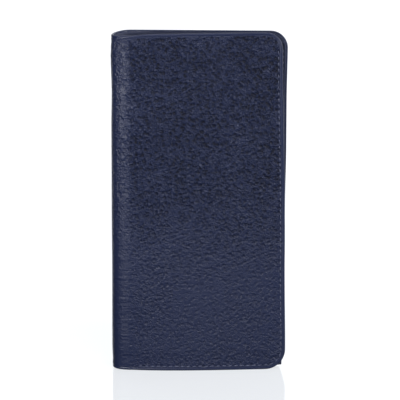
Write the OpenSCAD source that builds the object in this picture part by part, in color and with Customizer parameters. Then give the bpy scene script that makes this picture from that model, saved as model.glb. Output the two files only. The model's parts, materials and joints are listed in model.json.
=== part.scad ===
// Long wallet, closed and standing on its short end.
// X runs from the rounded fold to the opening edge, Y from front to back, Z up.
// The origin is the centre of the footprint.

/* [Wallet] */
// Height, standing on the short end
body_h = 190; // [186:1:200]
// Width from the rounded fold to the opening edge
body_w = 96; // [94:1:102]
// Depth over the rounded fold
fold_depth = 20; // [20:0.5:22]
// Angle between the two closed halves
wedge_angle = 7.7; // [7.2:0.1:7.9]
// Radius of the outer corners at the opening edge
corner_r = 9.5; // [6:0.5:12]

/* [Covers] */
// Thickness of the outer leather
cover_t = 1.0; // [0.8:0.1:1.1]
// Thickness of the stiffener boards and of the turned-in leather edge
board_t = 0.5; // [0.3:0.1:0.5]
// Thickness of the lining
lining_t = 0.3; // [0.2:0.05:0.3]
// Width of the leather that is turned in round the edge
turned_edge_w = 7; // [5:0.5:9]

/* [Stitching] */
// Distance of the stitches from the edge
stitch_inset = 2.5; // [2:0.1:3]
// Distance from one stitch to the next
stitch_pitch = 3.2; // [2.8:0.1:4]
// Length of one stitch
stitch_len = 2.3; // [1.8:0.1:2.5]
// Thickness of the thread
thread_t = 0.4; // [0.3:0.05:0.5]

/* [Card slots] */
// Height of one card slot, from its seam to its mouth
slot_h = 40; // [36:1:42]
// Step from one mouth to the next
slot_step = 13; // [12:0.5:13]
// Thickness of one card slot's leather
slot_t = 0.33; // [0.25:0.01:0.35]

/* [Coin pocket] */
// Height of the zip's centre line
zip_z = 152; // [150:1:156]
// Width of the coin pocket
coin_w = 76; // [74:1:76]
// Height of the coin pocket's lower seam
coin_z = 26; // [20:1:40]
// Width of the window that the zip shows in
zip_window = 9; // [8.5:0.1:10]
// Pitch of the teeth on one tape
tooth_pitch = 2.4; // [2.2:0.1:3]
// Length of the slider
slider_len = 9; // [8:0.5:10]
// Length of the puller's plate
puller_len = 9; // [7:0.5:10]

/* [Hidden] */
$fn = 64;

navy = [0.10, 0.11, 0.18];
navy_lining = [0.13, 0.15, 0.24];
board_grey = [0.55, 0.54, 0.50];
thread_navy = [0.14, 0.15, 0.22];
tape_navy = [0.07, 0.08, 0.13];
metal = [0.72, 0.73, 0.75];

// The fold is part of a cylinder: both halves leave it as tangents.
fold_r = fold_depth / 2;
fold_x = fold_r - body_w / 2;
fold_arc = 180 + wedge_angle;
// The halves keep a quarter of the fold each, and the spine has the middle half.
quarter_arc = fold_arc / 4;
// Slit between the leather of neighbouring bodies, as an angle.
slit_arc = 1;

// Length of each half from the fold's centre to its opening edge.
back_l = body_w - fold_r;
front_l = (back_l - fold_r * sin(wedge_angle)) / cos(wedge_angle);

// Depths are measured inwards from the outer face of a half.
core_d = cover_t + board_t;
lining_d = core_d + lining_t;
// Slack in the pocket behind each inner panel.
pocket_slack = 0.3;
panel_d = lining_d + pocket_slack;
front_panel_t = 0.4;
bill_panel_t = 0.5;
slot_d = panel_d + front_panel_t;
coin_d = panel_d + bill_panel_t;

// Inner pieces stop short of the edge, and reach a little way into the fold.
inner_inset = 1.2;
inner_x = -1.5;
front_panel_top = body_h - 12;
bill_panel_top = body_h - 6;
board_play = 0.3;

// Each slot leans out so that it passes over the mouth of the next one up.
slot_count = 8;
slot_gain = 0.4;
slot_lean = atan(slot_gain / slot_step);
slots_top = inner_inset + slot_h + slot_step * (slot_count - 1);
slots_face_d = slot_d + slot_h * tan(slot_lean) + slot_t;
card_seam_x = 0.9;

// Coin pocket, from the note pocket's panel inwards.
coin_x = 1;
coin_top = zip_z + 14;
coin_r = 4;
fabric_t = 0.2;
gusset_w = 1.2;
gusset_t = 1.2;
tape_t = 0.3;
coin_leather_t = 0.6;
gusset_d = coin_d + fabric_t;
tape_d = gusset_d + gusset_t;
coin_face_d = tape_d + tape_t;
coin_inner_d = coin_face_d + coin_leather_t;
coin_seam = 1.6;

// Zip: the two rows of teeth leave a slit that the slider's web runs in.
zip_slit = 0.6;
zip_end = 4;
tape_w = 10.5;
tooth_w = 1.2;
tooth_reach = 2.1;
tooth_t = 1.1;
teeth_d = tape_d + tape_t / 2 - tooth_t / 2;
stop_w = 1.6;
tooth_count = floor((coin_w - 2 * zip_end - 2 * stop_w) / tooth_pitch);

// Slider, closed at the fold end of the zip.
slider_x = coin_x + zip_end + stop_w + slider_len / 2 + 0.4;
slider_w = 7.2;
slider_play = 0.15;
wing_t = 0.5;
slider_top_t = 0.65;
web_t = 0.3;
web_len = 3;
slider_top_d = teeth_d + tooth_t + slider_play;
bridge_d = slider_top_d + slider_top_t;
bridge_w = 2.2;
bridge_len = 6;
bridge_post = 1.1;
bridge_bar_t = 0.5;
bridge_gap = 1.0;

// Puller: a pin through the bridge, two arms and a plate that lies towards the fold.
pin_r = 0.4;
pin_d = bridge_d + bridge_gap / 2;
arm_gap = 2.8;
arm_t = 0.9;
arm_len = 4;
arm_lap = 0.4;
puller_w = arm_gap + 2 * arm_t;
pin_x = slider_x;

// A half's outline: square at the fold, rounded at the opening edge.
module outline(x, z, r) {
  translate([x[0], z[0]]) square([x[1] - x[0] - r, z[1] - z[0]]);
  translate([x[1] - r - 1, z[0] + r]) square([r + 1, z[1] - z[0] - 2 * r]);
  for (corner_z = [z[0] + r, z[1] - r]) {
    translate([x[1] - r, corner_z]) circle(r = r);
  }
}

// Lays a flat outline in a half, between two depths from its outer face.
module laid(depth) {
  translate([0, fold_r - depth[0], 0]) {
    rotate([90, 0, 0]) linear_extrude(depth[1] - depth[0]) children();
  }
}

// A flat rounded plate of a half.
module plate(x, z, depth, r) {
  laid(depth) outline(x, z, r);
}

// A plate with four square corners.
module strip(x, z, depth) {
  laid(depth) translate([x[0], z[0]]) square([x[1] - x[0], z[1] - z[0]]);
}

// Part of the fold's cylinder, from an angle after the back tangent, between two depths.
module fold_shell(from, to, depth, z) {
  rotate([0, 0, 90 + from]) translate([0, 0, z[0]]) {
    rotate_extrude(angle = to - from) {
      translate([fold_r - depth[1], 0]) square([depth[1] - depth[0], z[1] - z[0]]);
    }
  }
}

// The back half lies along X, and its depths run towards -Y.
module on_back() {
  translate([fold_x, 0, 0]) children();
}

// The front half is the mirror image, turned by the wedge angle.
module on_front() {
  translate([fold_x, 0, 0]) rotate([0, 0, wedge_angle]) mirror([0, 1, 0]) children();
}

// Outer leather of one half: face, quarter of the fold and turned-in edge.
module cover(len) {
  hem_x = len - turned_edge_w;
  hem_r = max(corner_r - turned_edge_w, 1);
  plate([0, len], [0, body_h], [0, cover_t], corner_r);
  fold_shell(0, quarter_arc - slit_arc / 2, [0, core_d], [0, body_h]);
  difference() {
    plate([0, len], [0, body_h], [cover_t, core_d], corner_r);
    plate([-1, hem_x], [turned_edge_w, body_h - turned_edge_w],
      [cover_t, core_d + 1], hem_r);
  }
}

module board(len) {
  edge = turned_edge_w + board_play;
  plate([board_play, len - edge], [edge, body_h - edge], [cover_t, core_d],
    max(corner_r - edge, 1));
}

module lining(len) {
  plate([0, len - 1], [1, body_h - 1], [core_d, lining_d], corner_r - 1);
  fold_shell(0, quarter_arc - slit_arc, [core_d, lining_d], [1, body_h - 1]);
}

// One stitch: a bar sunk in the outer face, a leg through the layers and a bar on the inner face.
module stitch(inner_d, outer_d = 0) {
  for (d = [outer_d + thread_t, inner_d + thread_t / 2]) {
    translate([-stitch_len / 2, fold_r - d, -thread_t / 2]) {
      cube([stitch_len, thread_t, thread_t]);
    }
  }
  translate([-thread_t / 2, fold_r - inner_d, -thread_t / 2]) {
    cube([thread_t, inner_d - outer_d, thread_t]);
  }
}

// Stitches in a straight line, spread evenly from one point of a half to another.
module stitch_line(from, to, inner_d, outer_d = 0) {
  run = to - from;
  count = floor(norm(run) / stitch_pitch);
  for (i = [0:count - 1]) {
    at = from + run * (i + 0.5) / count;
    translate([at[0], 0, at[1]]) {
      rotate([0, -atan2(run[1], run[0]), 0]) stitch(inner_d, outer_d);
    }
  }
}

// Stitches round a corner of the opening edge, from a start angle in the half's face.
module stitch_corner(centre, start, inner_d) {
  r = corner_r - stitch_inset;
  count = round(r * PI / 2 / stitch_pitch);
  for (i = [0:count - 1]) {
    a = start + 90 * (i + 0.5) / count;
    translate([centre[0] + r * cos(a), 0, centre[1] + r * sin(a)]) {
      rotate([0, -a - 90, 0]) stitch(inner_d);
    }
  }
}

// Stitching round the three free edges of one half.
module edge_stitching(len, low_d, side_steps) {
  seam_x = len - stitch_inset;
  corner_x = len - corner_r;
  start_x = 4;
  top_z = body_h - stitch_inset;
  stitch_line([start_x, stitch_inset], [corner_x, stitch_inset], low_d);
  stitch_corner([corner_x, corner_r], -90, low_d);
  for (step = side_steps) {
    stitch_line([seam_x, step[0]], [seam_x, step[1]], step[2]);
  }
  stitch_corner([corner_x, body_h - corner_r], 0, lining_d);
  stitch_line([start_x, top_z], [corner_x, top_z], lining_d);
}

module back_cover() {
  color(navy) on_back() cover(back_l);
}

module front_cover() {
  color(navy) on_front() cover(front_l);
}

module spine_cover() {
  color(navy) on_back() {
    fold_shell(quarter_arc + slit_arc / 2, 3 * quarter_arc - slit_arc / 2,
      [0, cover_t], [0, body_h]);
  }
}

module back_board() {
  color(board_grey) on_back() board(back_l);
}

module front_board() {
  color(board_grey) on_front() board(front_l);
}

module spine_core() {
  color(board_grey) on_back() {
    fold_shell(quarter_arc + slit_arc, 3 * quarter_arc - slit_arc,
      [cover_t, core_d], [turned_edge_w, body_h - turned_edge_w]);
  }
}

module back_lining() {
  color(navy_lining) on_back() lining(back_l);
}

module front_lining() {
  color(navy_lining) on_front() lining(front_l);
}

module spine_lining() {
  color(navy_lining) on_back() {
    fold_shell(quarter_arc + slit_arc, 3 * quarter_arc - slit_arc,
      [core_d, lining_d], [1, body_h - 1]);
  }
}

module back_stitching() {
  color(thread_navy) on_back() {
    edge_stitching(back_l, coin_d, [[corner_r, body_h - corner_r, coin_d]]);
  }
}

module front_stitching() {
  color(thread_navy) on_front() {
    edge_stitching(front_l, slots_face_d, [
      [corner_r, slots_top, slots_face_d],
      [slots_top, front_panel_top, slot_d],
      [front_panel_top, body_h - corner_r, lining_d]
    ]);
  }
}

module front_pocket_panel() {
  color(navy) on_front() {
    plate([inner_x, front_l - inner_inset], [inner_inset, front_panel_top],
      [panel_d, slot_d], 2);
  }
}

// One card slot: a leather plate that leans inwards as it rises to its mouth.
module card_slot(number) {
  seam_z = inner_inset + slot_step * (number - 1);
  color(navy) on_front() {
    intersection() {
      translate([inner_x, fold_r - slot_d, seam_z]) {
        rotate([slot_lean, 0, 0]) {
          translate([0, -slot_t, 0]) {
            cube([front_l - inner_inset - inner_x, slot_t, slot_h / cos(slot_lean)]);
          }
        }
      }
      plate([inner_x - 1, front_l - inner_inset], [inner_inset, body_h],
        [slot_d, slots_face_d + 1], corner_r - inner_inset);
    }
  }
}

module card_slot_1() { card_slot(1); }
module card_slot_2() { card_slot(2); }
module card_slot_3() { card_slot(3); }
module card_slot_4() { card_slot(4); }
module card_slot_5() { card_slot(5); }
module card_slot_6() { card_slot(6); }
module card_slot_7() { card_slot(7); }
module card_slot_8() { card_slot(8); }

module card_stitching() {
  color(thread_navy) on_front() {
    stitch_line([card_seam_x, 2 * inner_inset], [card_seam_x, slots_top],
      slots_face_d, panel_d);
  }
}

module bill_panel() {
  color(navy_lining) on_back() {
    plate([inner_x, back_l - inner_inset], [inner_inset, bill_panel_top],
      [panel_d, coin_d], 2);
  }
}

module coin_pouch_back() {
  color(navy_lining) on_back() {
    strip([coin_x, coin_x + coin_w], [coin_z, coin_top], [coin_d, gusset_d]);
  }
}

module coin_pouch_gusset() {
  color(navy_lining) on_back() difference() {
    strip([coin_x, coin_x + coin_w], [coin_z, coin_top], [gusset_d, tape_d]);
    strip([coin_x + gusset_w, coin_x + coin_w - gusset_w],
      [coin_z + gusset_w, coin_top - gusset_w], [gusset_d - 1, tape_d + 1]);
  }
}

module coin_pouch_front() {
  color(navy_lining) on_back() {
    strip([coin_x, coin_x + coin_w], [coin_z, zip_z - zip_slit / 2 - tape_w],
      [tape_d, coin_face_d]);
  }
}

module coin_panel_lower() {
  color(navy) on_back() {
    strip([coin_x, coin_x + coin_w], [coin_z, zip_z - zip_window / 2],
      [coin_face_d, coin_inner_d]);
  }
}

module coin_panel_upper() {
  color(navy) on_back() {
    strip([coin_x, coin_x + coin_w], [zip_z + zip_window / 2, coin_top],
      [coin_face_d, coin_inner_d]);
  }
}

// Stitches down both sides and along the bottom and top of the coin pocket.
module coin_stitching() {
  left = coin_x + coin_seam;
  right = coin_x + coin_w - coin_seam;
  low = coin_z + coin_seam;
  high = coin_top - coin_seam;
  gap = zip_window / 2;
  color(thread_navy) on_back() {
    stitch_line([left, low], [right, low], coin_inner_d, panel_d);
    stitch_line([left, high], [right, high], coin_inner_d, panel_d);
    for (x = [left, right]) {
      stitch_line([x, low], [x, zip_z - gap], coin_inner_d, panel_d);
      stitch_line([x, zip_z + gap], [x, high], coin_inner_d, panel_d);
    }
  }
}

// side is 1 for the upper tape and -1 for the lower one.
module zip_tape(side) {
  low = side > 0 ? zip_z + zip_slit / 2 : zip_z - zip_slit / 2 - tape_w;
  color(tape_navy) on_back() {
    strip([coin_x, coin_x + coin_w], [low, low + tape_w], [tape_d, coin_face_d]);
  }
}

module zip_tape_lower() { zip_tape(-1); }
module zip_tape_upper() { zip_tape(1); }

module zip_teeth(side) {
  low = side > 0 ? zip_z + zip_slit / 2 : zip_z - zip_slit / 2 - tooth_reach;
  first = coin_x + zip_end + stop_w + (side > 0 ? 0 : tooth_pitch / 2);
  color(metal) on_back() {
    for (i = [0:tooth_count - 1]) {
      x = first + i * tooth_pitch;
      strip([x, x + tooth_w], [low, low + tooth_reach], [teeth_d, teeth_d + tooth_t]);
    }
  }
}

module zip_teeth_lower() { zip_teeth(-1); }
module zip_teeth_upper() { zip_teeth(1); }

// Stops on both tapes, at both ends of the teeth.
module zip_stops() {
  color(metal) on_back() {
    for (x = [coin_x + zip_end - 0.6, coin_x + coin_w - zip_end - stop_w + 0.6]) {
      for (low = [zip_z + zip_slit / 2, zip_z - zip_slit / 2 - tooth_reach]) {
        strip([x, x + stop_w], [low, low + tooth_reach], [teeth_d, teeth_d + tooth_t]);
      }
    }
  }
}

// Slider: two wings joined by a thin web between the teeth, with a bridge on top.
module zip_slider() {
  x = [slider_x - slider_len / 2, slider_x + slider_len / 2];
  z = [zip_z - slider_w / 2, zip_z + slider_w / 2];
  wing_d = teeth_d - slider_play - wing_t;
  bridge_x = [slider_x - bridge_len / 2, slider_x + bridge_len / 2];
  bridge_z = [zip_z - bridge_w / 2, zip_z + bridge_w / 2];
  bridge_top_d = bridge_d + bridge_gap + bridge_bar_t;
  color(metal) on_back() {
    strip(x, z, [wing_d, wing_d + wing_t]);
    strip(x, z, [slider_top_d, bridge_d]);
    strip([x[0], x[0] + web_len], [zip_z - web_t / 2, zip_z + web_t / 2],
      [wing_d, bridge_d]);
    difference() {
      strip(bridge_x, bridge_z, [bridge_d, bridge_top_d]);
      strip([bridge_x[0] + bridge_post, bridge_x[1] - bridge_post],
        bridge_z + [-1, 1], [bridge_d, bridge_d + bridge_gap]);
    }
  }
}

module zip_puller() {
  y = fold_r - pin_d;
  arm_z = arm_gap / 2;
  color(metal) on_back() {
    translate([pin_x, y, zip_z - puller_w / 2]) cylinder(r = pin_r, h = puller_w);
    for (z = [zip_z - arm_z - arm_t, zip_z + arm_z]) {
      strip([pin_x - arm_len, pin_x], [z, z + arm_t], [pin_d - pin_r, pin_d + pin_r]);
    }
    translate([pin_x, 0, 0]) mirror([1, 0, 0]) {
      plate([arm_len - arm_lap, arm_len + puller_len],
        [zip_z - puller_w / 2, zip_z + puller_w / 2], [pin_d - pin_r, pin_d + pin_r],
        puller_w / 2 - 0.2);
    }
  }
}

back_cover();
front_cover();
spine_cover();
back_board();
front_board();
spine_core();
back_lining();
front_lining();
spine_lining();
back_stitching();
front_stitching();
front_pocket_panel();
card_slot_1();
card_slot_2();
card_slot_3();
card_slot_4();
card_slot_5();
card_slot_6();
card_slot_7();
card_slot_8();
card_stitching();
bill_panel();
coin_pouch_back();
coin_pouch_gusset();
coin_pouch_front();
coin_panel_lower();
coin_panel_upper();
coin_stitching();
zip_tape_lower();
zip_tape_upper();
zip_teeth_lower();
zip_teeth_upper();
zip_stops();
zip_slider();
zip_puller();
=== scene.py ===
# %% [markdown]
# # A long wallet in navy pebbled leather
# The wallet is one hide wrapped round two stiff halves. It stands closed on its short end, with
# the rounded fold on the left. Everything here is placed from the frame: the frame's boxes and
# joints give the height, the radius of the fold and the angle between the halves, so the new
# pieces fit the parts they replace.
# %% Load the frame
import math

import bmesh
import bpy
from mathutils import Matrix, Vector
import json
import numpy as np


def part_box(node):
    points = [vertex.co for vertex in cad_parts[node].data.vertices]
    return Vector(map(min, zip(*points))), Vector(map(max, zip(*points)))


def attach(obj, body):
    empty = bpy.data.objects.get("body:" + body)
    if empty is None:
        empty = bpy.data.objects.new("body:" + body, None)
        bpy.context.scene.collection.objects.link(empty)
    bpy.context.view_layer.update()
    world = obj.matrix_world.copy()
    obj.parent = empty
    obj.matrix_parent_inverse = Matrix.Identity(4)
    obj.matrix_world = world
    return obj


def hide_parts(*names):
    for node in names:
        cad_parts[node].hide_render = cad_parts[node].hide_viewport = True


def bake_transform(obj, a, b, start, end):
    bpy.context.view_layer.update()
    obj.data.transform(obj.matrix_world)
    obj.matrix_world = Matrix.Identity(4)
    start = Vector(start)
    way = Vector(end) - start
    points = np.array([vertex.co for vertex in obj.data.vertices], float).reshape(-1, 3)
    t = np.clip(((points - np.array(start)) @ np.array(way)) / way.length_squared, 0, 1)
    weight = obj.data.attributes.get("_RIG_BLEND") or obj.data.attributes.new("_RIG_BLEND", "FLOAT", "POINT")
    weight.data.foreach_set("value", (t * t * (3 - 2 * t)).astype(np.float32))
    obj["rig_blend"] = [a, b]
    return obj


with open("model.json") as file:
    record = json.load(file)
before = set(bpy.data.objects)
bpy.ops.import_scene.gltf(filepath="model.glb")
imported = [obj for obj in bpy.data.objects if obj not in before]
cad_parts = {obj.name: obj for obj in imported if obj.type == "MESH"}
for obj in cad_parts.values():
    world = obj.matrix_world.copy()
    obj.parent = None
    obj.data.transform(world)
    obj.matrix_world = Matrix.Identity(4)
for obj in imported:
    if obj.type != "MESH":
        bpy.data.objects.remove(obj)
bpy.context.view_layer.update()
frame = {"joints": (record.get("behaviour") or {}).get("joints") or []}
MM = 0.001

# %% [markdown]
# ## One way of placing everything
# Both halves are flat plates that leave the same cylinder, the fold, as tangents. So each piece is
# first made flat, as a leather worker cuts it, with three numbers for a point: how far along the
# half it lies from the tangent line, how deep under the outer face, and how high. Below zero the
# first number runs round the fold. One function then wraps the flat piece onto its half.
# %% Driving sizes, read from the frame
cover_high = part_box("back_cover")[1]
HEIGHT = cover_high.z
FOLD_R = cover_high.y
FOLD_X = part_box("spine_cover")[0].x + FOLD_R
BACK_LEN = cover_high.x - FOLD_X
joints = {joint["name"]: joint for joint in frame["joints"]}
HINGE_TURN = math.radians(joints["fold_back"]["range_deg"][1])
WEDGE = 2 * HINGE_TURN - math.pi
FRONT_LEN = (BACK_LEN - FOLD_R * math.sin(WEDGE)) / math.cos(WEDGE)
FOLD_ARC = FOLD_R * HINGE_TURN
BACK, FRONT = "back", "front"
LENGTH = {BACK: BACK_LEN, FRONT: FRONT_LEN}
BODY = {BACK: "back_half", FRONT: "front_half"}
print("height %.1f mm, fold radius %.1f mm, wedge %.1f degrees"
      % (HEIGHT / MM, FOLD_R / MM, math.degrees(WEDGE)))


# %% A smooth step
def smooth_step(value, start, end):
    t = min(1, max(0, (value - start) / (end - start)))
    return t * t * (3 - 2 * t)


# %% [markdown]
# Leather gives. The real wallet isn't the drawing's exact cylinder and two exact plates. At the top
# its front half leans in and towards the fold, and at the lower opening corner it stands out. Its
# fold is fuller towards the front, dips a little at the top and lifts at the foot. The lower
# opening corners are worn to a larger arc than they were cut to. These are slow shifts of a few
# millimetres, added to every piece of a half alike, so the layers stay together.
# %% How far the soft wallet has settled
SKEW = 2.0 * MM
LEAN_IN = 2.8 * MM
FOOT_IN, FOOT_OUT, FOOT_RUN = 1.5 * MM, 5.6 * MM, 24 * MM
FOOT_LONG, FRONT_SHORT = 0.65 * MM, 0.15 * MM
BACK_WAVE = 0.45 * MM
FULLER = 4.0 * MM
DIP = 0.75 * MM
HEEL_LIFT = 0.7 * MM
FOLD_IN, WAIST_IN = 0.25 * MM, 0.45 * MM
WAIST_HIGH, WAIST_REACH = 158 * MM, 13 * MM
LOW_SWELL, HEEL_SWELL = 0.3 * MM, 0.2 * MM
CORNER_R = 9.5 * MM
WORN_R = 11.2 * MM


def fold_shift(high):
    """How far the fold's outline has moved in at a height. Below zero it has moved out."""
    waist = WAIST_IN * math.exp(-((high - WAIST_HIGH) / WAIST_REACH) ** 2)
    low = LOW_SWELL * (1 - smooth_step(high, 25 * MM, 70 * MM))
    heel = HEEL_SWELL * (1 - smooth_step(high, 1 * MM, 9 * MM))
    return FOLD_IN + waist - low - heel


def edge_shift(side, along, high):
    """How far a half has moved away from the fold, most at its opening edge."""
    if side == FRONT:
        foot = FOOT_LONG * (1 - smooth_step(high, 8 * MM, 60 * MM)) - FRONT_SHORT
        skew = SKEW * smooth_step(high, 0.35 * HEIGHT, HEIGHT)
        return (foot - skew) * smooth_step(along, 0, 30 * MM)
    wave = smooth_step(high, 150 * MM, 185 * MM) - 1 + smooth_step(high, 90 * MM, 125 * MM)
    return BACK_WAVE * wave * smooth_step(along, 0, 60 * MM)


def reach_to_rim(over, under):
    """From the worn corner's centre to the cut corner's rim, in the direction given."""
    away = math.hypot(over, under)
    wide, least = max(over, under) / away, min(over, under) / away
    inset = WORN_R - CORNER_R
    if WORN_R * least <= inset * wide:
        return WORN_R / wide
    middle = inset * (wide + least)
    return middle + math.sqrt(middle ** 2 - 2 * inset ** 2 + CORNER_R ** 2)


def settled(side, along, high, angle):
    """Shifts in x, y and z. angle runs round the fold from the back half's tangent line."""
    top = max(0, 2 * high / HEIGHT - 1) ** 2
    foot = max(0, 1 - 2 * high / HEIGHT) ** 2
    bulge = max(0, math.sin(angle)) ** 2
    front = 1.0
    if along < 0 or side == BACK:
        front = min(1, (1 - math.cos(angle)) / (1 + math.cos(WEDGE)))
    run = max(0, along) if side == FRONT else 0
    opening = FOOT_IN - FOOT_OUT * (1 - math.exp(-run / FOOT_RUN))
    y = front * (LEAN_IN * top + opening * foot) - FULLER * bulge
    x = fold_shift(high) * bulge + edge_shift(side, along, high)
    fade = 1 - smooth_step(run, 0, 9 * MM)
    z = -DIP * front ** 0.7 * fade * smooth_step(high, 0.9 * HEIGHT, HEIGHT)
    z += HEEL_LIFT * bulge * (1 - smooth_step(high, 0, 10 * MM))
    over, under = along - LENGTH[side] + WORN_R, WORN_R - high
    if over > 0 and under > 0:
        shrink = 1 - WORN_R / reach_to_rim(over, under)
        x -= over * shrink
        z += under * shrink
    return x, y, z


# %% Placing one point
def wrap_point(side, along, depth, high):
    radius = FOLD_R - depth
    bend = max(0, -along) / FOLD_R
    angle = bend if side == BACK else math.pi + WEDGE - bend
    x, y = max(0, along) - radius * math.sin(bend), radius * math.cos(bend)
    if side == FRONT:
        cos_w, sin_w = math.cos(WEDGE), math.sin(WEDGE)
        x, y = x * cos_w + y * sin_w, x * sin_w - y * cos_w
    shift = Vector(settled(side, along, high, angle))
    return Vector((FOLD_X + x, y, high)) + shift


def wrap(bm, side):
    for vert in bm.verts:
        vert.co = wrap_point(side, vert.co.x, vert.co.y, vert.co.z)
    bmesh.ops.recalc_face_normals(bm, faces=bm.faces)


# %% Turning a bmesh into a finished piece
def finish_piece(bm, name, material, smooth=True):
    mesh = bpy.data.meshes.new(name)
    bm.to_mesh(mesh)
    bm.free()
    mesh.polygons.foreach_set("use_smooth", [smooth] * len(mesh.polygons))
    mesh.materials.append(material)
    piece = bpy.data.objects.new(name, mesh)
    bpy.context.scene.collection.objects.link(piece)
    return piece


def add_to(bm, part):
    """Joins a part made in its own bmesh to a piece."""
    mesh = bpy.data.meshes.new("part")
    part.to_mesh(mesh)
    part.free()
    bm.from_mesh(mesh)
    bpy.data.meshes.remove(mesh)


# %% [markdown]
# ## Shader maths
# Pebble, crease and weave patterns are formulas on the object's own coordinates. A small class
# wraps a socket, so a formula is written as Python and each operator adds its Math node.
# %% A socket that does arithmetic
class Wire:
    def __init__(self, tree, socket):
        self.tree, self.socket = tree, socket

    def maths(self, operation, *others, flip=False):
        inputs = [self, *others][::-1] if flip else [self, *others]
        return self.tree.add("ShaderNodeMath", {"operation": operation}, inputs)

    def __add__(self, other):
        return self.maths("ADD", other)

    __radd__ = __add__

    def __mul__(self, other):
        return self.maths("MULTIPLY", other)

    __rmul__ = __mul__

    def __sub__(self, other):
        return self.maths("SUBTRACT", other)

    def __rsub__(self, other):
        return self.maths("SUBTRACT", other, flip=True)

    def clamp(self):
        return self.maths("MAXIMUM", 0.0).maths("MINIMUM", 1.0)


# %% A material with one method that adds any node
class Finish:
    def __init__(self, name):
        self.material = bpy.data.materials.new(name)
        self.material.use_nodes = True
        self.nodes = self.material.node_tree.nodes
        self.links = self.material.node_tree.links
        self.nodes.clear()
        self.shader = self.nodes.new("ShaderNodeBsdfPrincipled")
        output = self.nodes.new("ShaderNodeOutputMaterial")
        self.links.new(self.shader.outputs[0], output.inputs[0])

    def add(self, kind, settings=None, inputs=(), output=0):
        node = self.nodes.new(kind)
        for key, value in (settings or {}).items():
            setattr(node, key, value)
        pairs = inputs.items() if isinstance(inputs, dict) else enumerate(inputs)
        for key, value in pairs:
            self.feed(node.inputs[key], value)
        return Wire(self, node.outputs[output])

    def feed(self, socket, value):
        if isinstance(value, Wire):
            self.links.new(value.socket, socket)
        else:
            socket.default_value = value

    def set(self, **values):
        for key, value in values.items():
            self.feed(self.shader.inputs[key.replace("_", " ")], value)

    def place(self, scale=(1, 1, 1), turn=(0, 0, 0)):
        spot = self.add("ShaderNodeTexCoord", output="Object")
        return self.add("ShaderNodeMapping", {}, {"Vector": spot, "Scale": scale, "Rotation": turn})

    def noise(self, at, scale, detail=2.0, roughness=0.5, distortion=0.0):
        return self.add("ShaderNodeTexNoise", {}, {
            "Vector": at, "Scale": scale, "Detail": detail,
            "Roughness": roughness, "Distortion": distortion})

    def cells(self, at, scale, feature="F1"):
        return self.add("ShaderNodeTexVoronoi", {"feature": feature},
                        {"Vector": at, "Scale": scale}, "Distance")

    def range(self, value, low, high, to_low=0.0, to_high=1.0):
        return self.add("ShaderNodeMapRange", {"interpolation_type": "SMOOTHSTEP"},
                        [value, low, high, to_low, to_high])

    def mix(self, factor, first, second):
        return self.add("ShaderNodeMix", {"data_type": "RGBA"},
                        {0: factor, 6: first, 7: second}, 2)

    def attribute(self, name):
        return self.add("ShaderNodeAttribute", {"attribute_name": name}, output="Fac")

    def bump(self, height, distance, strength=1.0):
        return self.add("ShaderNodeBump", {}, {
            "Height": height, "Distance": distance, "Strength": strength})


# %% [markdown]
# ## The camera and the light
# The camera stands well back, a little above the wallet and a touch to the right of the front
# cover's square view, so that the rounded fold shows its whole front quarter. Lights are placed by
# their turn to the right of the front view and their angle above the wallet's middle, in degrees.
# Two small ones in front of the fold draw its highlight, and the large ones light the cover.
# %% Camera
CAMERA_AWAY = 1.35
CAMERA_TURN = math.radians(2.5)
CAMERA_UP = math.radians(13.7)
aim = Vector((0.0006, 0, 0.0964))
toward = Vector((math.sin(CAMERA_TURN) * math.cos(CAMERA_UP),
                 -math.cos(CAMERA_TURN) * math.cos(CAMERA_UP), math.sin(CAMERA_UP)))
camera_data = bpy.data.cameras.new("camera")
camera_data.sensor_width = 36
FRAME_WIDTH = 0.2213
camera_data.lens = camera_data.sensor_width * CAMERA_AWAY / FRAME_WIDTH
camera_data.clip_start = 0.01
camera = bpy.data.objects.new("camera", camera_data)
camera.location = aim + toward * CAMERA_AWAY
camera.rotation_euler = (-toward).to_track_quat("-Z", "Y").to_euler()
bpy.context.scene.collection.objects.link(camera)
bpy.context.scene.camera = camera
print("lens %.0f mm" % camera_data.lens)


# %% Lights
def soft_light(name, turn, up, away, size, power, tall=None):
    """A rectangle that faces the wallet's middle, square unless tall is given."""
    data = bpy.data.lights.new(name, "AREA")
    data.shape = "RECTANGLE"
    data.size = size
    data.size_y = tall or size
    data.energy = power
    light = bpy.data.objects.new(name, data)
    turn, up = math.radians(turn), math.radians(up)
    way = Vector((math.sin(turn) * math.cos(up), -math.cos(turn) * math.cos(up), math.sin(up)))
    light.location = Vector((0, 0, HEIGHT / 2)) + way * away
    light.rotation_euler = (-way).to_track_quat("-Z", "Y").to_euler()
    bpy.context.scene.collection.objects.link(light)


soft_light("fold_low", turn=-12, up=-9, away=0.7, size=0.14, power=0.95, tall=0.25)
soft_light("fold_high", turn=-18, up=17, away=0.36, size=0.09, power=0.8, tall=0.06)
soft_light("left_light", turn=-85, up=4, away=0.8, size=0.3, power=0.08, tall=0.4)
soft_light("edge_light", turn=104, up=12, away=0.7, size=0.25, power=2.6, tall=0.6)
soft_light("key_light", turn=50, up=24, away=1.4, size=0.35, power=11.0)
soft_light("high_light", turn=20, up=66, away=1.3, size=0.3, power=6.0)

# %% [markdown]
# The room is dim in front of the wallet and bright behind it, and the camera sees plain white. The
# floor is there for its reflection only. It sends the leather no light and blocks none, so a light
# may stand below it.
# %% Room
DIM, BRIGHT = 0.08, 1.3
DIM_BEFORE, BRIGHT_PAST = 0.3, 0.7

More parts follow.
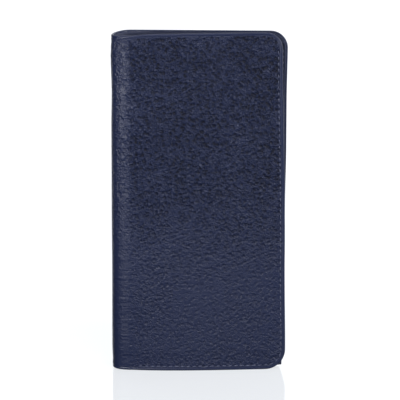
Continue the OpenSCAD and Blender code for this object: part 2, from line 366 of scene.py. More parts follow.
world = bpy.data.worlds.new("studio")
world.use_nodes = True
bpy.context.scene.world = world
world_nodes, world_links = world.node_tree.nodes, world.node_tree.links
room = world_nodes["Background"]
heading = world_nodes.new("ShaderNodeTexCoord")
axes = world_nodes.new("ShaderNodeSeparateXYZ")
behind = world_nodes.new("ShaderNodeMapRange")
for socket, value in zip(list(behind.inputs)[1:5], (DIM_BEFORE, BRIGHT_PAST, DIM, BRIGHT)):
    socket.default_value = value
world_links.new(heading.outputs["Generated"], axes.inputs[0])
world_links.new(axes.outputs[1], behind.inputs[0])
world_links.new(behind.outputs[0], room.inputs["Strength"])
room.inputs["Color"].default_value = (0.94, 0.96, 1.0, 1)
backdrop = world_nodes.new("ShaderNodeBackground")
backdrop.inputs["Color"].default_value = (1, 1, 1, 1)
backdrop.inputs["Strength"].default_value = 1.0
seen = world_nodes.new("ShaderNodeLightPath")
choose = world_nodes.new("ShaderNodeMixShader")
world_links.new(seen.outputs["Is Camera Ray"], choose.inputs[0])
world_links.new(room.outputs[0], choose.inputs[1])
world_links.new(backdrop.outputs[0], choose.inputs[2])
world_links.new(choose.outputs[0], world_nodes["World Output"].inputs[0])
bpy.context.scene.view_settings.view_transform = "Standard"

# %% Floor
floor_finish = Finish("pale_floor")
floor_finish.set(Base_Color=(0.20, 0.21, 0.22, 1), Roughness=0.06, IOR=1.45,
                 Emission_Color=(0.95, 0.97, 1.0, 1), Emission_Strength=0.66)
bm = bmesh.new()
bmesh.ops.create_grid(bm, x_segments=1, y_segments=1, size=4)
floor = finish_piece(bm, "floor", floor_finish.material)
floor.visible_diffuse = False
floor.visible_glossy = False
floor.visible_shadow = False

# %% [markdown]
# ## The outer leather's finish
# Pebbled leather is a field of raised pebbles with pits between them. The pits are the middles
# of Voronoi cells in two sizes, and a third set of cells gives the ridges. The base colour paints
# the pits darker, as painted shade. The coordinates are pushed about by noise, so that no two are
# alike. The grain, and with it the painted shade in the pits, is deeper in the upper half and in
# patches. The turned edge was pressed smooth by the creasing iron, and the fold is stretched, so
# both carry attributes that fade the grain out. Stretched leather has fine creases across the pull.
# %% Pebbled leather
def pushed(finish, spot, scale, amount):
    shove = finish.add("ShaderNodeTexNoise", {}, {"Vector": spot, "Scale": scale, "Detail": 1.0},
                       "Color")
    centred = finish.add("ShaderNodeVectorMath", {"operation": "SUBTRACT"},
                         [shove, (0.5, 0.5, 0.5)])
    return finish.add("ShaderNodeVectorMath", {"operation": "MULTIPLY_ADD"},
                      [centred, (amount, amount, amount), spot])


PITS, SMALL_PITS, RIDGES = 450, 850, 620
GRAIN_DEPTH = 1.25 * MM


def pebbled_leather(name, pit_shade_and_dark_tone, light):
    """PITS, SMALL_PITS and RIDGES are cells a metre."""
    finish = Finish(name)
    spot = finish.place()
    loose = pushed(finish, spot, 400, 1.1 * MM)
    pits = 1 - finish.range(finish.cells(loose, PITS), 0.14, 0.6)
    small = 1 - finish.range(finish.cells(loose, SMALL_PITS), 0.1, 0.55)
    ridges = 1 - finish.range(finish.cells(loose, RIDGES, "DISTANCE_TO_EDGE"), 0.0, 0.22)
    patches = finish.noise(spot, 34, 2.0)
    up = finish.add("ShaderNodeSeparateXYZ", {}, [spot], 2)
    upper = finish.range(up, 0.045, 0.13)
    fine = finish.noise(spot, 3000, 2.0)
    creases = finish.noise(finish.place((60, 60, 520)), 1.0, 3.0, 0.6, 0.4)
    pressed = 1 - finish.range(finish.attribute("edge"), 1.5, 2.4)
    stretched = finish.attribute("stretch")
    strength = finish.range(patches, 0.32, 0.62, 0.7, 1.0) * (upper * 0.7 + 0.3)
    grain = (1 - pressed) * (1 - stretched * 0.75) * strength
    # The pit mask gives the bump's hollows and also the painted shade in the pits.
    pit_depth_and_shade = (pits * 0.8 + small * 0.4).clamp() * grain
    height = 1 - pit_depth_and_shade + ridges * grain * 0.3 + fine * 0.05 + creases * stretched * 0.3
    # The base colour paints the pits darker as painted shade; the patches add a little random darker tone.
    finish.set(
        Base_Color=finish.mix((pit_depth_and_shade * 0.9 + patches * 0.15).clamp(), light, pit_shade_and_dark_tone),
        Roughness=0.44 + pit_depth_and_shade * 0.2 - pressed * 0.06 - stretched * 0.1,
        Specular_IOR_Level=0.3,
        Normal=finish.bump(height, GRAIN_DEPTH))
    return finish.material


# The first colour is the painted shade in the pits, the second the leather's own colour on the pebbles.
outer_leather = pebbled_leather("outer_leather", (0.004, 0.005, 0.014, 1),
                                (0.012, 0.018, 0.053, 1))
print("outer leather ready")


# %% [markdown]
# The leather inside is thinner and smoother than the cover: the same colour with a fine, shallow
# grain. The lining is a twill, drawn as slanted ribs crossed by the threads' gaps.
# %% Inner leather, lining, thread and board
def inner_leather_finish():
    finish = Finish("inner_leather")
    spot = finish.place()
    loose = pushed(finish, spot, 600, 0.5 * MM)
    pebble_with_groove_shade = finish.range(finish.cells(loose, 1500, "DISTANCE_TO_EDGE"), 0.0, 0.3)
    patches = finish.noise(spot, 60, 3.0)
    fine = finish.noise(spot, 4000, 2.0)
    edge = finish.attribute("edge")
    # The rim mask marks the rolled edge, which the base colour paints lighter as a painted highlight. The
    # iron line is painted darker, partly as the iron's burnish and partly as painted shade in its groove.
    rim = 1 - finish.range(edge, 0.3, 0.8)
    iron_line_and_shade = finish.range(edge, 1.1, 1.4) * (1 - finish.range(edge, 1.6, 1.9))
    # Base colour: painted shade in the grooves between the pebbles, the rim's painted highlight and the iron
    # line's darkening.
    finish.set(
        Base_Color=finish.mix((pebble_with_groove_shade * 0.4 + patches * 0.4 + rim * 0.5 - iron_line_and_shade * 0.8).clamp(),
                              (0.005, 0.008, 0.022, 1), (0.019, 0.027, 0.070, 1)),
        Roughness=0.5 - pebble_with_groove_shade * 0.06 + patches * 0.08 - rim * 0.12,
        Specular_IOR_Level=0.3,
        Normal=finish.bump(pebble_with_groove_shade * 0.6 + fine * 0.2, 0.12 * MM, 0.9))
    return finish.material


def lining_finish():
    finish = Finish("twill_lining")
    spot = finish.place((1, 1, 1), (0, math.radians(38), 0))
    twill = finish.add("ShaderNodeTexWave", {"bands_direction": "Z"},
                       {"Vector": spot, "Scale": 520, "Distortion": 0.6, "Detail": 1.0})
    yarn = finish.noise(finish.place((1, 1, 6)), 700, 2.0)
    wear = finish.noise(finish.place(), 45, 3.0)
    finish.set(
        Base_Color=finish.mix((twill * 0.5 + yarn * 0.3 + wear * 0.2).clamp(),
                              (0.012, 0.016, 0.042, 1), (0.035, 0.044, 0.10, 1)),
        Roughness=0.7 - twill * 0.15,
        Sheen_Weight=0.15,
        Normal=finish.bump(twill * 0.8 + yarn * 0.2, 0.10 * MM, 0.8))
    return finish.material


def thread_finish():
    finish = Finish("waxed_thread")
    lay = finish.add("ShaderNodeTexWave", {"bands_direction": "DIAGONAL"},
                     {"Vector": finish.place(), "Scale": 700, "Distortion": 0.3})
    fuzz = finish.noise(finish.place(), 2500, 2.0)
    finish.set(
        Base_Color=finish.mix((lay * 0.6 + fuzz * 0.4).clamp(), (0.030, 0.036, 0.070, 1),
                              (0.085, 0.098, 0.17, 1)),
        Roughness=0.38 + fuzz * 0.15,
        Normal=finish.bump(lay * 0.8 + fuzz * 0.2, 0.05 * MM, 0.7))
    return finish.material


def board_finish():
    finish = Finish("stiffener_board")
    fibres = finish.noise(finish.place((1, 1, 3)), 900, 4.0)
    finish.set(
        Base_Color=finish.mix(fibres, (0.20, 0.18, 0.15, 1), (0.34, 0.31, 0.26, 1)),
        Roughness=0.85, Normal=finish.bump(fibres, 0.05 * MM, 0.5))
    return finish.material


def tape_finish():
    finish = Finish("zip_tape")
    ribs = finish.add("ShaderNodeTexWave", {"bands_direction": "X"},
                      {"Vector": finish.place(), "Scale": 620, "Distortion": 0.2})
    rows = finish.add("ShaderNodeTexWave", {"bands_direction": "Z"},
                      {"Vector": finish.place(), "Scale": 520, "Distortion": 0.2})
    fuzz = finish.noise(finish.place(), 1800, 2.0)
    finish.set(
        Base_Color=finish.mix((ribs * rows * 0.7 + fuzz * 0.3).clamp(), (0.006, 0.007, 0.015, 1),
                              (0.022, 0.025, 0.045, 1)),
        Roughness=0.8 - fuzz * 0.1,
        Normal=finish.bump(ribs * 0.5 + rows * 0.5, 0.10 * MM, 0.8))
    return finish.material


def metal_finish():
    finish = Finish("nickel")
    scuffs = finish.noise(finish.place((1, 5, 5)), 900, 4.0, 0.65)
    wear = finish.noise(finish.place(), 220, 3.0)
    finish.set(
        Base_Color=finish.mix(wear, (0.50, 0.51, 0.53, 1), (0.66, 0.67, 0.69, 1)),
        Metallic=1.0,
        Roughness=0.22 + finish.range(scuffs, 0.45, 0.7) * 0.16,
        Normal=finish.bump(scuffs, 0.01 * MM, 0.4))
    return finish.material


inner_leather = inner_leather_finish()
lining = lining_finish()
thread = thread_finish()
board = board_finish()
zip_tape = tape_finish()
nickel = metal_finish()
print("materials:", len(bpy.data.materials))


# %% [markdown]
# ## Cutting a flat sheet
# A sheet of leather is a grid of faces. Its lines are close together near the edges, where the
# sheet rolls over, and further apart in the middle. The corners at the opening edge are made by
# pushing the grid's own corner onto a quarter circle, so the lines stay even. Solidify closes the
# sheet, and then each face is moved in depth by how far it lies from the edge.
# %% Grid lines and round corners
EDGE_LINES = [0, 0.06, 0.16, 0.3, 0.5, 0.8, 1.1, 1.35, 1.5, 1.65, 1.8, 2.0, 2.2, 2.35, 2.5,
              2.65, 2.8, 3.1, 3.6, 4.4, 5.6, 6.85, 7.15]
SEAM_LINES = [0, 0.08, 0.25, 0.6, 1.1, 1.8]


def grid_lines(low, high, step, from_low, from_high):
    room = (high - low) * 0.45
    starts = [low + d * MM for d in from_low if d * MM < room]
    ends = [high - d * MM for d in from_high if d * MM < room][::-1]
    count = max(1, round((ends[0] - starts[-1]) / step))
    middle = [starts[-1] + (ends[0] - starts[-1]) * i / count for i in range(1, count)]
    return starts + middle + ends


def corner_gap(along, high, limits, radius):
    """Distances into the round corner's square, or None outside it."""
    left, right, bottom, top = limits
    x = along - (right - radius)
    z = max(bottom + radius - high, high - (top - radius))
    return (x, z) if x > 0 and z > 0 else None


def flat_sheet(along, high, thick, corner, step, from_fold):
    bm = bmesh.new()
    columns = grid_lines(along[0], along[1], step, from_fold, EDGE_LINES)
    rows = grid_lines(high[0], high[1], step, EDGE_LINES, EDGE_LINES)
    bmesh.ops.create_grid(bm, x_segments=len(columns) - 1, y_segments=len(rows) - 1, size=1)
    limits = (along[0], along[1], high[0], high[1])
    for vert in bm.verts:
        column = round((vert.co.x + 1) / 2 * (len(columns) - 1))
        row = round((vert.co.y + 1) / 2 * (len(rows) - 1))
        x, z = columns[column], rows[row]
        gap = corner_gap(x, z, limits, corner)
        if gap:
            a, b = gap[0] / corner, gap[1] / corner
            x = along[1] - corner + gap[0] * math.sqrt(1 - b * b / 2)
            pull = gap[1] * math.sqrt(1 - a * a / 2)
            z = high[1] - corner + pull if z > (high[0] + high[1]) / 2 else high[0] + corner - pull
        vert.co = (x, 0, z)
    bm.normal_update()
    bmesh.ops.solidify(bm, geom=bm.faces, thickness=thick)
    return bm


# %% [markdown]
# The distance from the edge decides the section: a half-round rim, the creasing iron's groove, the
# shallow channel that the stitches lie in, and the slight crown of the padded middle. Every sheet
# keeps that distance as an attribute, because its finish needs it too.
# %% From edge distance to section
def edge_distance(along, high, limits, corner, open_fold):
    left, right, bottom, top = limits
    gap = corner_gap(along, high, limits, corner) if corner else None
    if gap:
        return corner - math.hypot(*gap)
    sides = [right - along, high - bottom, top - high]
    if open_fold:
        sides.append(along - left)
    return max(0, min(sides))


def rim_depth(distance, radius):
    if distance >= radius:
        return 0
    return radius - math.sqrt(max(0, radius * radius - (radius - distance) ** 2))


def groove(distance, at, width, depth):
    return depth * math.exp(-((distance - at) / width) ** 2)


def leather_sheet(name, side, along, high, depth, material, corner=0, step=3 * MM,
                  open_fold=True, lean=0, section=None, from_fold=EDGE_LINES):
    thick = depth[1] - depth[0]
    bm = flat_sheet(along, high, thick, corner, step, from_fold)
    for name_of in ("edge", "stretch"):
        bm.verts.layers.float.new(name_of)
    edge_layer, stretch_layer = (bm.verts.layers.float[key] for key in ("edge", "stretch"))
    limits = (along[0], along[1], high[0], high[1])
    for vert in bm.verts:
        x, z = vert.co.x, vert.co.z
        inside = abs(vert.co.y) > thick / 2
        distance = edge_distance(x, z, limits, corner, open_fold)
        rolled = rim_depth(distance, 0.47 * thick)
        vert[edge_layer] = distance / MM
        vert[stretch_layer] = 1 - smooth_step(x, -3 * MM, 1.5 * MM)
        level = thick - rolled if inside else rolled
        if section:
            level += section(x, z, distance, inside)
        vert.co = (x, depth[0] + level + lean * (z - high[0]), z)
    wrap(bm, side)
    return finish_piece(bm, name, material)


def bend_with_fold(piece, side):
    """The piece rides its half and bends with the spine from the tangent line to mid-fold."""
    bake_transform(piece, BODY[side], "spine", wrap_point(side, 0, 0, HEIGHT / 2),
             wrap_point(side, -FOLD_ARC, 0, HEIGHT / 2))


# %% [markdown]
# ## The outer leather
# On the real wallet this is one hide, round both halves and the fold. A hide that bends at both
# hinge lines is made here as two sheets that meet at the middle of the fold. Each bends between
# its half and the spine, so the join never opens. Their grid lines crowd together at the join, so
# the light runs over it without a break. The hide is turned in by seven millimetres at the three
# free edges, and the stiffener fills the step that the turned edge leaves.
# %% Cover section
COVER_THICK = 1.5 * MM
COVER_STEP = 1.6 * MM
HEM, HEM_STEP = 7 * MM, 0.5 * MM
CROWN = 0.35 * MM
CREASE_IN, CREASE_W, CREASE_DEEP = 1.55 * MM, 0.24 * MM, 0.26 * MM
STITCH_IN, CHANNEL_W, CHANNEL_DEEP = 2.5 * MM, 0.3 * MM, 0.12 * MM
WAVES, GATHERS = 0.12 * MM, 0.09 * MM


def ripple(along, high):
    """Slow, shallow unevenness of glued leather, and the fold's gathered ends."""
    slow = math.sin(along * 71 + high * 23) * math.sin(high * 47 - along * 31 + 1.3)
    near_end = math.exp(-(HEIGHT - high) / (16 * MM)) + 0.7 * math.exp(-high / (9 * MM))
    folds = math.sin(high * 1150 + math.sin(along * 260) * 1.4)
    on_fold = smooth_step(-along, -2 * MM, 5 * MM)
    return WAVES * slow + GATHERS * near_end * folds * on_fold


def cover_section(along, high, distance, inside):
    if inside:
        return -HEM_STEP * smooth_step(distance, HEM - 0.1 * MM, HEM + 0.1 * MM)
    crown = -CROWN * smooth_step(distance, 3 * MM, 13 * MM)
    iron = groove(distance, CREASE_IN, CREASE_W, CREASE_DEEP)
    channel = 0
    if high < HEIGHT - CORNER_R and along > 3 * MM:
        channel = groove(distance, STITCH_IN, CHANNEL_W, CHANNEL_DEEP)
        iron = iron * 0.3
    fade = smooth_step(distance, 0.3 * MM, 3 * MM)
    return crown + iron + channel + fade * ripple(along, high)


def outer_cover(name, side, *nodes):
    cover = leather_sheet(
        name, side, (-FOLD_ARC, LENGTH[side]), (0, HEIGHT), (0, COVER_THICK), outer_leather,
        CORNER_R, COVER_STEP, False, 0, cover_section, SEAM_LINES)
    bend_with_fold(cover, side)
    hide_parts(*nodes)
    print(name, len(cover.data.polygons), "faces")


outer_cover("back_leather", BACK, "back_cover", "spine_cover")
outer_cover("front_leather", FRONT, "front_cover", "spine_cover")


# %% [markdown]
# ## The lining
# A twill cloth is glued inside each half and round the fold. It stops a millimetre short of the
# edge, so the leather's turned rim frames it.
# %% Lining sheets
LINING_DEPTH = (1.5 * MM, 1.8 * MM)
LINING_IN = 1 * MM


def lining_sheet(name, side, *nodes):
    cloth = leather_sheet(
        name, side, (-FOLD_ARC, LENGTH[side] - LINING_IN), (LINING_IN, HEIGHT - LINING_IN),
        LINING_DEPTH, lining, CORNER_R - LINING_IN, 3 * MM, False, 0, None, SEAM_LINES)
    bend_with_fold(cloth, side)
    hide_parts(*nodes)
    print(name, "is glued to the", side, "leather")


lining_sheet("back_cloth", BACK, "back_lining", "spine_lining")
lining_sheet("front_cloth", FRONT, "front_lining", "spine_lining")

# %% [markdown]
# ## The stiffeners
# A board fills the step inside each half's turned edge, and two strips stiffen the fold. The strips
# are thinner and made of shorter faces, so that they stay under the cloth when the wallet opens.
# %% Stiffeners
BOARD_IN = 7.3 * MM
BOARD_OUTER, BOARD_INNER, STRIP_INNER = 1.02 * MM, 1.46 * MM, 1.34 * MM
BOARD_STEP, STRIP_STEP = 5 * MM, 1.6 * MM
QUARTER = FOLD_ARC / 2


def stiffener(name, side, along, corner, node, inner=BOARD_INNER, step=BOARD_STEP):
    card = leather_sheet(name, side, along, (BOARD_IN, HEIGHT - BOARD_IN), (BOARD_OUTER, inner),
                         board, corner, step, True, 0, None, EDGE_LINES[:6])
    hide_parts(node)
    return card


for side in (BACK, FRONT):
    card = stiffener(side + "_card", side, (0.3 * MM, LENGTH[side] - BOARD_IN), 2.2 * MM,
                     side + "_board")
    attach(card, BODY[side])
    strip = stiffener(side + "_fold_card", side, (-FOLD_ARC + 0.1 * MM, -QUARTER - 0.2 * MM), 0,
                      "spine_core", STRIP_INNER, STRIP_STEP)
    bend_with_fold(strip, side)
print("stiffeners fitted")


# %% [markdown]
# ## Stitching
# A saddle stitch lies in its channel as a short fat bead that dips into a hole at both ends and
# slants a little. Each is a small sphere, stretched, and the whole row is one piece.
# %% Rows of stitches
STITCH_PITCH = 3.3 * MM
STITCH_SIZE = (2.7 * MM, 0.5 * MM, 0.62 * MM)
SLANT = math.radians(7)


def stitch_bead(bm, at, turn, depth, inward):
    """One stitch in flat coordinates. inward is 1 on the outer face and -1 on the inner one."""
    made = bmesh.ops.create_uvsphere(bm, u_segments=7, v_segments=6, radius=0.5)["verts"]
    lean_by = turn + SLANT * inward
    cos_t, sin_t = math.cos(lean_by), math.sin(lean_by)
    for vert in made:
        x, y, z = (vert.co[i] * STITCH_SIZE[i] for i in range(3))
        dip = 0.5 * STITCH_SIZE[1] * (2 * x / STITCH_SIZE[0]) ** 2
        vert.co = (at[0] + x * cos_t - z * sin_t, depth + (y + dip) * inward,
                   at[1] + x * sin_t + z * cos_t)


def straight_row(start, end):
    run = math.hypot(end[0] - start[0], end[1] - start[1])
    turn = math.atan2(end[1] - start[1], end[0] - start[0])
    count = max(1, round(run / STITCH_PITCH))
    steps = [(i + 0.5) / count for i in range(count)]
    return [((start[0] + (end[0] - start[0]) * s, start[1] + (end[1] - start[1]) * s), turn)
            for s in steps]


def corner_row(centre, radius, start):
    count = max(1, round(radius * math.pi / 2 / STITCH_PITCH))
    angles = [math.radians(start) + math.pi / 2 * (i + 0.5) / count for i in range(count)]
    return [((centre[0] + radius * math.cos(a), centre[1] + radius * math.sin(a)),
             a + math.pi / 2) for a in angles]


def stitch_rows(name, side, rows, faces, node):
    """rows are places and turns, and faces are functions that give a row's depth and way in."""
    bm = bmesh.new()
    for at, turn in rows:
        for depth_at, inward in faces:
            stitch_bead(bm, at, turn, depth_at(*at), inward)
    wrap(bm, side)
    stitches = finish_piece(bm, name, thread)
    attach(stitches, BODY[side])
    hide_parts(node)
    print(name, len(rows), "stitches")


def edge_rows(side):
    length = LENGTH[side]
    centre_x = length - CORNER_R
    low = straight_row((2.5 * MM, STITCH_IN), (centre_x, STITCH_IN))
    corner = corner_row((centre_x, CORNER_R), CORNER_R - STITCH_IN, -90)
    rise = straight_row((length - STITCH_IN, CORNER_R), (length - STITCH_IN, HEIGHT - CORNER_R))
    return low + corner + rise


# %% [markdown]
# ## Pockets of the front half
# A long slip pocket covers the lining, and on it stand eight card slots. Each slot is a thin sheet
# that leans out as it rises, so that it passes over the mouth of the next one. The mouths are
# creased with a hot iron, like every cut edge on a good wallet.
# %% Pocket sizes
PANEL_DEPTH = (2.1 * MM, 2.5 * MM)
PANEL_IN = 1.2 * MM
PANEL_START = -1.5 * MM
FRONT_PANEL_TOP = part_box("front_pocket_panel")[1].z
SLOT_COUNT = 8
SLOT_HEIGHT = 40 * MM
SLOT_THICK = 0.33 * MM
SLOT_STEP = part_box("card_slot_2")[1].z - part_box("card_slot_1")[1].z
SLOT_LEAN = 0.4 * MM / SLOT_STEP
SLOT_FACE = PANEL_DEPTH[1] + SLOT_HEIGHT * SLOT_LEAN + SLOT_THICK
SLOTS_TOP = PANEL_IN + SLOT_HEIGHT + SLOT_STEP * (SLOT_COUNT - 1)


# %% Front pocket panel and card slots
def inner_panel(name, side, along, high, depth, node, corner=2 * MM, lean=0, step=4 * MM):
    """A pocket sheet. Its finished face looks into the wallet, so the crease goes on that side."""
    thick = depth[1] - depth[0]

    def mouth_crease(at_along, at_high, distance, inside):
        return -groove(high[1] - at_high, 1.5 * MM, 0.2 * MM, 0.25 * thick) if inside else 0

    panel = leather_sheet(name, side, along, high, depth, inner_leather, corner,
                          step, True, lean, mouth_crease, EDGE_LINES[:18])
    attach(panel, BODY[side])
    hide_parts(node)


inner_panel("long_pocket", FRONT, (PANEL_START, FRONT_LEN - PANEL_IN),
            (PANEL_IN, FRONT_PANEL_TOP), PANEL_DEPTH, "front_pocket_panel")
for number in range(1, SLOT_COUNT + 1):
    seam = PANEL_IN + SLOT_STEP * (number - 1)
    inner_panel("slot_%d" % number, FRONT, (PANEL_START, FRONT_LEN - PANEL_IN),
                (seam, seam + SLOT_HEIGHT), (PANEL_DEPTH[1], PANEL_DEPTH[1] + SLOT_THICK),
                "card_slot_%d" % number, 0.5 * MM, SLOT_LEAN)
print("slots up to %.0f mm" % (SLOTS_TOP / MM))


# %% Stitches of the front half
def front_face_depth(along, high):
    if high > FRONT_PANEL_TOP:
        return LINING_DEPTH[1]
    if high > SLOTS_TOP:
        return PANEL_DEPTH[1]
    return SLOT_FACE - 0.1 * MM


def outer_face(along, high):
    return 0.02 * MM


stitch_rows("front_stitches", FRONT, edge_rows(FRONT),
            [(outer_face, 1), (front_face_depth, -1)], "front_stitching")
CARD_SEAM = 0.9 * MM
stitch_rows("slot_stitches", FRONT, straight_row((CARD_SEAM, 3 * MM), (CARD_SEAM, SLOTS_TOP)),
            [(front_face_depth, -1)], "card_stitching")


# %% [markdown]
# ## Pockets of the back half
# The note pocket's panel carries the coin pocket: a cloth pouch, a leather front in two parts, and
# a zip in the window between them.
# %% Note pocket and coin pocket
NOTE_DEPTH = (2.1 * MM, 2.6 * MM)
inner_panel("note_pocket", BACK, (PANEL_START, BACK_LEN - PANEL_IN),
            (PANEL_IN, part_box("bill_panel")[1].z), NOTE_DEPTH, "bill_panel")


def node_span(node):
    """A back half node's span along the half, in height and in depth."""
    low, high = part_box(node)
    return ((low.x - FOLD_X, high.x - FOLD_X), (low.z, high.z),
            (FOLD_R - high.y, FOLD_R - low.y))


for name, node in (("coin_front_low", "coin_panel_lower"), ("coin_front_high", "coin_panel_upper")):
    inner_panel(name, BACK, *node_span(node), node, 0.6 * MM)


def cloth_panel(name, node):
    along, high, depth = node_span(node)
    cloth = leather_sheet(name, BACK, along, high, depth, lining, 0, 5 * MM,
                          from_fold=EDGE_LINES[:8])
    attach(cloth, "back_half")
    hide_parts(node)


cloth_panel("pouch_back", "coin_pouch_back")
cloth_panel("pouch_front", "coin_pouch_front")


# %% [markdown]
# The gusset is the pouch's cloth wall. It is four strips round the edge, made as one frame: a
# rectangle whose middle is inset and taken away.
# %% Gusset frame
def gusset_frame():
    along, high, depth = node_span("coin_pouch_gusset")
    bm = bmesh.new()
    bmesh.ops.create_grid(bm, x_segments=1, y_segments=1, size=0.5)
    for vert in bm.verts:
        vert.co = (along[0] + (vert.co.x + 0.5) * (along[1] - along[0]), depth[0],
                   high[0] + (vert.co.y + 0.5) * (high[1] - high[0]))
    face = list(bm.faces)
    bmesh.ops.inset_region(bm, faces=face, thickness=1.2 * MM, use_boundary=True,
                           use_even_offset=True)
    bmesh.ops.delete(bm, geom=face, context="FACES_ONLY")
    made = bmesh.ops.extrude_face_region(bm, geom=list(bm.faces))["geom"]
    for vert in made:
        if isinstance(vert, bmesh.types.BMVert):
            vert.co.y = depth[1]
    wrap(bm, BACK)
    gusset = finish_piece(bm, "pouch_gusset", lining, False)
    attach(gusset, "back_half")
    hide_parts("coin_pouch_gusset")


gusset_frame()


# %% Stitches of the back half
def back_face_depth(along, high):
    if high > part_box("bill_panel")[1].z:
        return LINING_DEPTH[1]
    return NOTE_DEPTH[1]


stitch_rows("back_stitches", BACK, edge_rows(BACK), [(outer_face, 1), (back_face_depth, -1)],
            "back_stitching")

coin_along, coin_high, coin_depth = node_span("coin_panel_lower")
coin_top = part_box("coin_panel_upper")[1].z
window_low = coin_high[1]
window_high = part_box("coin_panel_upper")[0].z
ZIP_Z = (window_low + window_high) / 2
COIN_SEAM = 1.6 * MM
left, right = coin_along[0] + COIN_SEAM, coin_along[1] - COIN_SEAM
low, high = coin_high[0] + COIN_SEAM, coin_top - COIN_SEAM
coin_rows = straight_row((left, low), (right, low)) + straight_row((left, high), (right, high))
for x in (left, right):
    coin_rows += straight_row((x, low + 1.5 * MM), (x, window_low - 0.5 * MM))
    coin_rows += straight_row((x, window_high + 0.5 * MM), (x, high - 1.5 * MM))
stitch_rows("coin_stitches", BACK, coin_rows, [(lambda along, high: coin_depth[1], -1)],
            "coin_stitching")


# %% [markdown]
# ## The zip
# The tapes are woven, with a rolled edge towards the teeth. A metal tooth is a small clamp on the
# tape with a narrower head. The heads stop just short of the middle line, so that the slider's web
# can pass between the two rows.
# %% Tapes and teeth
TOOTH_PITCH = 2.4 * MM
TOOTH_W = 1.25 * MM
TOOTH_ROOT, TOOTH_LEN = 2.45 * MM, 2.26 * MM
FIRST_TOOTH = 0.6 * MM
TOOTH_TAPER = (1.0, 0.92, 0.8, 0.62)
TOOTH_SLIM = (1.0, 1.0, 0.9, 0.7)
TOOTH_REACH = (0, 0.42, 0.72, 1.0)


def zip_tape_piece(name, node):
    along, high, depth = node_span(node)
    tape = leather_sheet(name, BACK, along, high, depth, zip_tape, 0, 4 * MM,
                         from_fold=EDGE_LINES[:6])
    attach(tape, "back_half")
    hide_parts(node)


zip_tape_piece("tape_low", "zip_tape_lower")
zip_tape_piece("tape_high", "zip_tape_upper")


def tooth(bm, x, way, depth):
    """One tooth: a clamp on the tape and a narrower head. way is 1 for the upper tape."""
    part = bmesh.new()
    bmesh.ops.create_cube(part, size=1)
    ring = [edge for edge in part.edges if abs(edge.verts[0].co.z - edge.verts[1].co.z) > 0.5]
    bmesh.ops.subdivide_edges(part, edges=ring, cuts=2)
    middle, thick = (depth[0] + depth[1]) / 2, depth[1] - depth[0]
    for vert in part.verts:
        level = round((vert.co.z + 0.5) * 3)
        vert.co = (x + vert.co.x * TOOTH_W * TOOTH_TAPER[level],
                   middle + vert.co.y * thick * TOOTH_SLIM[level],
                   ZIP_Z + way * (TOOTH_ROOT - TOOTH_LEN * TOOTH_REACH[level]))
    bmesh.ops.bevel(part, geom=part.edges[:], offset=0.09 * MM, segments=1, profile=0.5,
                    affect="EDGES", material=-1)
    add_to(bm, part)


def teeth_row(name, node, way):
    along, _, depth = node_span(node)
    count = round((along[1] - along[0] - 2 * FIRST_TOOTH) / TOOTH_PITCH) + 1
    bm = bmesh.new()
    for number in range(count):
        tooth(bm, along[0] + FIRST_TOOTH + number * TOOTH_PITCH, way, depth)
    wrap(bm, BACK)
    row = finish_piece(bm, name, nickel, False)
    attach(row, "back_half")
    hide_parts(node)
    print(name, count, "teeth")


teeth_row("teeth_low", "zip_teeth_lower", -1)
teeth_row("teeth_high", "zip_teeth_upper", 1)


# %% [markdown]
# The stops are bent clamps at both ends. The slider is two shaped wings round a web, with an arch
# that the puller's pin runs under. They are cubes and grids that are scaled, cut, thickened and
# bevelled.
# %% Metal blocks
SHARP = 0.8  # radians between two faces


def round_rim(bm, part, offset, segments=2):
    """Bevels a part's sharp edges and joins it to the piece."""
    rim = [edge for edge in part.edges if edge.calc_face_angle(0) > SHARP]
    bmesh.ops.bevel(part, geom=rim, offset=offset, segments=segments, profile=0.5,
                    affect="EDGES", material=-1)
    add_to(bm, part)


def thicken(part, thickness, start):
    """Turns a flat outline into a plate whose outer face lies at the depth start."""
    part.normal_update()
    bmesh.ops.solidify(part, geom=part.faces, thickness=thickness)
    low_y = min(vert.co.y for vert in part.verts)
    bmesh.ops.translate(part, vec=(0, start - low_y, 0), verts=part.verts)


def block(bm, along, high, depth, bevel, segments=3):
    """A box in flat coordinates with every edge rounded."""
    part = bmesh.new()
    bmesh.ops.create_cube(part, size=1)
    middle = [(along[0] + along[1]) / 2, (depth[0] + depth[1]) / 2, (high[0] + high[1]) / 2]
    size = [along[1] - along[0], depth[1] - depth[0], high[1] - high[0]]
    bmesh.ops.scale(part, vec=size, verts=part.verts)
    bmesh.ops.translate(part, vec=middle, verts=part.verts)
    bmesh.ops.bevel(part, geom=part.edges[:], offset=bevel, segments=segments, profile=0.5,
                    affect="EDGES", material=-1)
    add_to(bm, part)


def metal_piece(bm, name, body, node):
    """Metal stays flat, also where it reaches out over the fold."""
    for vert in bm.verts:
        vert.co = (FOLD_X + vert.co.x, FOLD_R - vert.co.y, vert.co.z)
    bmesh.ops.recalc_face_normals(bm, faces=bm.faces)
    piece = finish_piece(bm, name, nickel)
    piece.modifiers.new("corners", "WEIGHTED_NORMAL")
    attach(piece, body)
    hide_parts(node)


# %% Stops, slider and puller
STOP_W = 1.6 * MM
stops = bmesh.new()
stop_along, _, stop_depth = node_span("zip_stops")
for start in (stop_along[0], stop_along[1] - STOP_W):
    for way in (-1, 1):
        span = sorted((ZIP_Z + way * 0.3 * MM, ZIP_Z + way * 2.5 * MM))
        block(stops, (start, start + STOP_W), span, stop_depth, 0.25 * MM)
metal_piece(stops, "stops", "back_half", "zip_stops")

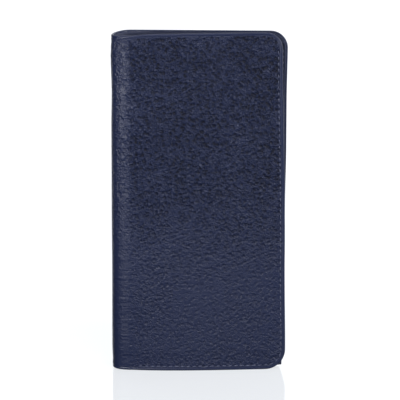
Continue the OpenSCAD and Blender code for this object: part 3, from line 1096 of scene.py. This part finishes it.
pin = Vector(joints["puller_swing"]["pos_m"])
PIN_ALONG, PIN_DEPTH, PIN_R = pin.x - FOLD_X, FOLD_R - pin.y, 0.4 * MM
slider_along, slider_high, slider_depth = node_span("zip_slider")
SLIDER_TOP = PIN_DEPTH - 0.5 * MM
LOWER_WING, UPPER_WING = 0.5 * MM, 0.65 * MM
WEB, WEB_W = (0.1 * MM, 3 * MM), 0.3 * MM
ARCH_REACH, ARCH_RISE, ARCH_W = (2.0 * MM, 3.0 * MM), (1.0 * MM, 1.5 * MM), 2.2 * MM


def slider_wing(bm, depth):
    """A wing's outline narrows from the shoulders to the tail, as the Y channel does."""
    part = bmesh.new()
    bmesh.ops.create_grid(part, x_segments=8, y_segments=4, size=0.5)
    length = slider_along[1] - slider_along[0]
    for vert in part.verts:
        t = vert.co.x + 0.5
        width = (slider_high[1] - slider_high[0]) * (1 - 0.24 * smooth_step(t, 0.35, 1.0))
        round_off = 1 - 0.22 * (abs(2 * t - 1) ** 6)
        vert.co = (slider_along[0] + t * length, depth[0], ZIP_Z + vert.co.y * width * round_off)
    thicken(part, depth[0] - depth[1], depth[0])
    round_rim(bm, part, 0.14 * MM)


def arch(bm):
    """The bridge: a bar swept over the pin in a flat half-oval."""
    part = bmesh.new()
    bmesh.ops.create_cube(part, size=1)
    ring = [edge for edge in part.edges if abs(edge.verts[0].co.x - edge.verts[1].co.x) > 0.5]
    bmesh.ops.subdivide_edges(part, edges=ring, cuts=15)
    for vert in part.verts:
        turn = (vert.co.x + 0.5) * math.pi
        skin = 0 if vert.co.y < 0 else 1
        vert.co = (PIN_ALONG - ARCH_REACH[skin] * math.cos(turn),
                   SLIDER_TOP + ARCH_RISE[skin] * math.sin(turn) ** 0.6,
                   ZIP_Z + vert.co.z * ARCH_W)
    round_rim(bm, part, 0.12 * MM)


slider = bmesh.new()
slider_wing(slider, (slider_depth[0], slider_depth[0] + LOWER_WING))
slider_wing(slider, (SLIDER_TOP - UPPER_WING, SLIDER_TOP))
block(slider, (slider_along[0] + WEB[0], slider_along[0] + WEB[1]),
      (ZIP_Z - WEB_W / 2, ZIP_Z + WEB_W / 2),
      (slider_depth[0] + 0.2 * MM, SLIDER_TOP - 0.2 * MM), 0.05 * MM, 1)
arch(slider)
metal_piece(slider, "slider", "zip_slider", "zip_slider")


# %% [markdown]
# The puller hangs on its pin and lies towards the fold, the way it was last pulled. Its plate has
# a long window in the middle, which makes it lighter and easier to grip.
# %% Puller
PULLER_W = 4.6 * MM
ARM_LEN = 4 * MM
puller_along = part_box("zip_puller")[0].x - FOLD_X
plate_depth = (PIN_DEPTH - PIN_R, PIN_DEPTH + PIN_R)


def puller_plate(bm):
    part = bmesh.new()
    bmesh.ops.create_grid(part, x_segments=14, y_segments=6, size=0.5)
    low, high = puller_along, PIN_ALONG - ARM_LEN + 0.4 * MM
    hole = [face for face in part.faces
            if abs(face.calc_center_median().x) < 0.3 and abs(face.calc_center_median().y) < 0.16]
    bmesh.ops.delete(part, geom=hole, context="FACES")
    for vert in part.verts:
        t, across = vert.co.x + 0.5, vert.co.y * 2
        end = max(0, 1 - t / 0.28)
        width = math.sqrt(max(0.0, 1 - end * end * 0.94)) * (1 - 0.1 * math.sin(t * math.pi))
        vert.co = (low + t * (high - low), plate_depth[0], ZIP_Z + across * width * PULLER_W / 2)
    thicken(part, PIN_R * 2, plate_depth[0])
    round_rim(bm, part, 0.16 * MM, 3)


puller = bmesh.new()
puller_plate(puller)
for way in (-1, 1):
    arm = sorted((ZIP_Z + way * 1.4 * MM, ZIP_Z + way * PULLER_W / 2))
    block(puller, (PIN_ALONG - ARM_LEN, PIN_ALONG + PIN_R), arm, plate_depth, 0.16 * MM)
pin_bar = bmesh.new()
bmesh.ops.create_cone(pin_bar, cap_ends=True, segments=20, radius1=PIN_R * 0.9,
                      radius2=PIN_R * 0.9, depth=PULLER_W * 0.9)
bmesh.ops.translate(pin_bar, vec=(PIN_ALONG, PIN_DEPTH, ZIP_Z), verts=pin_bar.verts)
add_to(puller, pin_bar)
metal_piece(puller, "puller", "zip_puller", "zip_puller")
print("puller %.1f mm long" % ((PIN_ALONG - puller_along) / MM))

# %% The json module
import json
